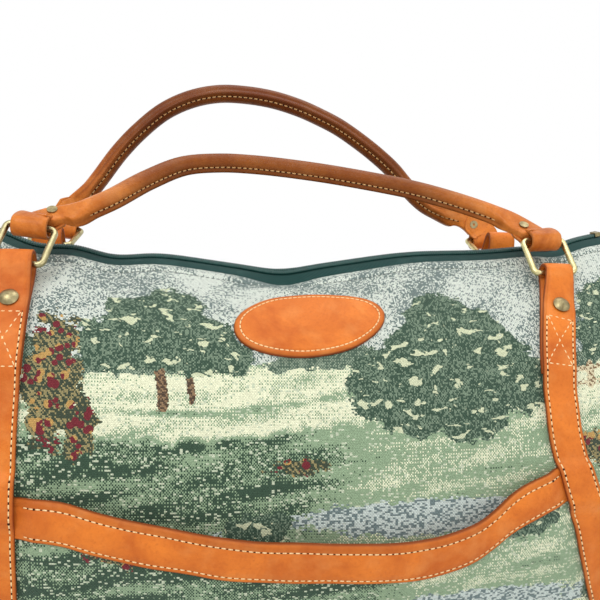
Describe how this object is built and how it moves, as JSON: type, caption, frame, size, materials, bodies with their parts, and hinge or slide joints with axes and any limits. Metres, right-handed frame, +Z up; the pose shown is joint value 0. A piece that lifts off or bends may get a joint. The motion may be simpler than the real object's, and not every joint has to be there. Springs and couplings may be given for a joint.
{
  "type": "tapestry travel bag",
  "caption": "Soft tapestry travel bag with leather straps, rolled handles on swinging brass rings, a sagging top zip with a slider, an oval patch and an open front pocket.",
  "frame": {"origin": "middle of the base's underside, on the floor", "axes": "+X to the right seen from the front, +Y from front to rear, +Z up"},
  "size_m": [0.5248, 0.2412, 0.3742],
  "materials": {
    "tapestry": "thick jacquard weave in greens, cream, slate and burgundy",
    "tan_leather": "smooth vegetable-tanned leather, satin",
    "handle_leather": "rolled leather, darkened and polished by use",
    "aged_brass": "antique brass, dull",
    "pale_brass": "pale brass, satin",
    "zip_cloth": "dark green woven tape and nylon coil"
  },
  "bodies": {
    "bag": {"front_panel": "tapestry", "rear_panel": "tapestry", "base_panel": "tapestry", "left_end_panel": "tapestry", "right_end_panel": "tapestry", "pocket_panel": "tapestry", "pocket_band": "tan_leather", "label_patch": "tan_leather", "front_left_strap": "tan_leather", "front_right_strap": "tan_leather", "rear_left_strap": "tan_leather", "rear_right_strap": "tan_leather", "strap_rivets": "aged_brass", "zip_front_tape": "zip_cloth", "zip_rear_tape": "zip_cloth", "zip_front_coil": "zip_cloth", "zip_rear_coil": "zip_cloth", "zip_end_stops": "pale_brass"},
    "front_rings": {"front_left_ring": "pale_brass", "front_right_ring": "pale_brass"},
    "front_handle": {"front_handle": "handle_leather", "front_handle_rivets": "aged_brass"},
    "rear_rings": {"rear_left_ring": "pale_brass", "rear_right_ring": "pale_brass"},
    "rear_handle": {"rear_handle": "handle_leather", "rear_handle_rivets": "aged_brass"},
    "zip_slider": {"zip_slider": "pale_brass"},
    "zip_pull": {"zip_pull": "pale_brass"}
  },
  "joints": [
    {"name": "front_ring_swing", "type": "hinge", "parent": "bag", "child": "front_rings", "pos_m": [0, -0.04491, 0.25268], "axis": [1, 0, 0], "range_deg": [-10, 90]},
    {"name": "front_handle_swing", "type": "hinge", "parent": "front_rings", "child": "front_handle", "pos_m": [0, -0.02601, 0.27158], "axis": [1, 0, 0], "range_deg": [-6, 90]},
    {"name": "rear_ring_swing", "type": "hinge", "parent": "bag", "child": "rear_rings", "pos_m": [0, 0.04491, 0.25268], "axis": [-1, 0, 0], "range_deg": [-45, 20]},
    {"name": "rear_handle_swing", "type": "hinge", "parent": "rear_rings", "child": "rear_handle", "pos_m": [0, 0.07032, 0.26094], "axis": [-1, 0, 0], "range_deg": [-12, 60]},
    {"name": "zip_slide", "type": "hinge", "parent": "bag", "child": "zip_slider", "pos_m": [0, 0, 1.247], "axis": [0, -1, 0], "range_deg": [0, 23.6]},
    {"name": "zip_pull_swing", "type": "hinge", "parent": "zip_slider", "child": "zip_pull", "pos_m": [-0.20259, 0, 0.27478], "axis": [0, 1, 0], "range_deg": [0, 160]}
  ]
}
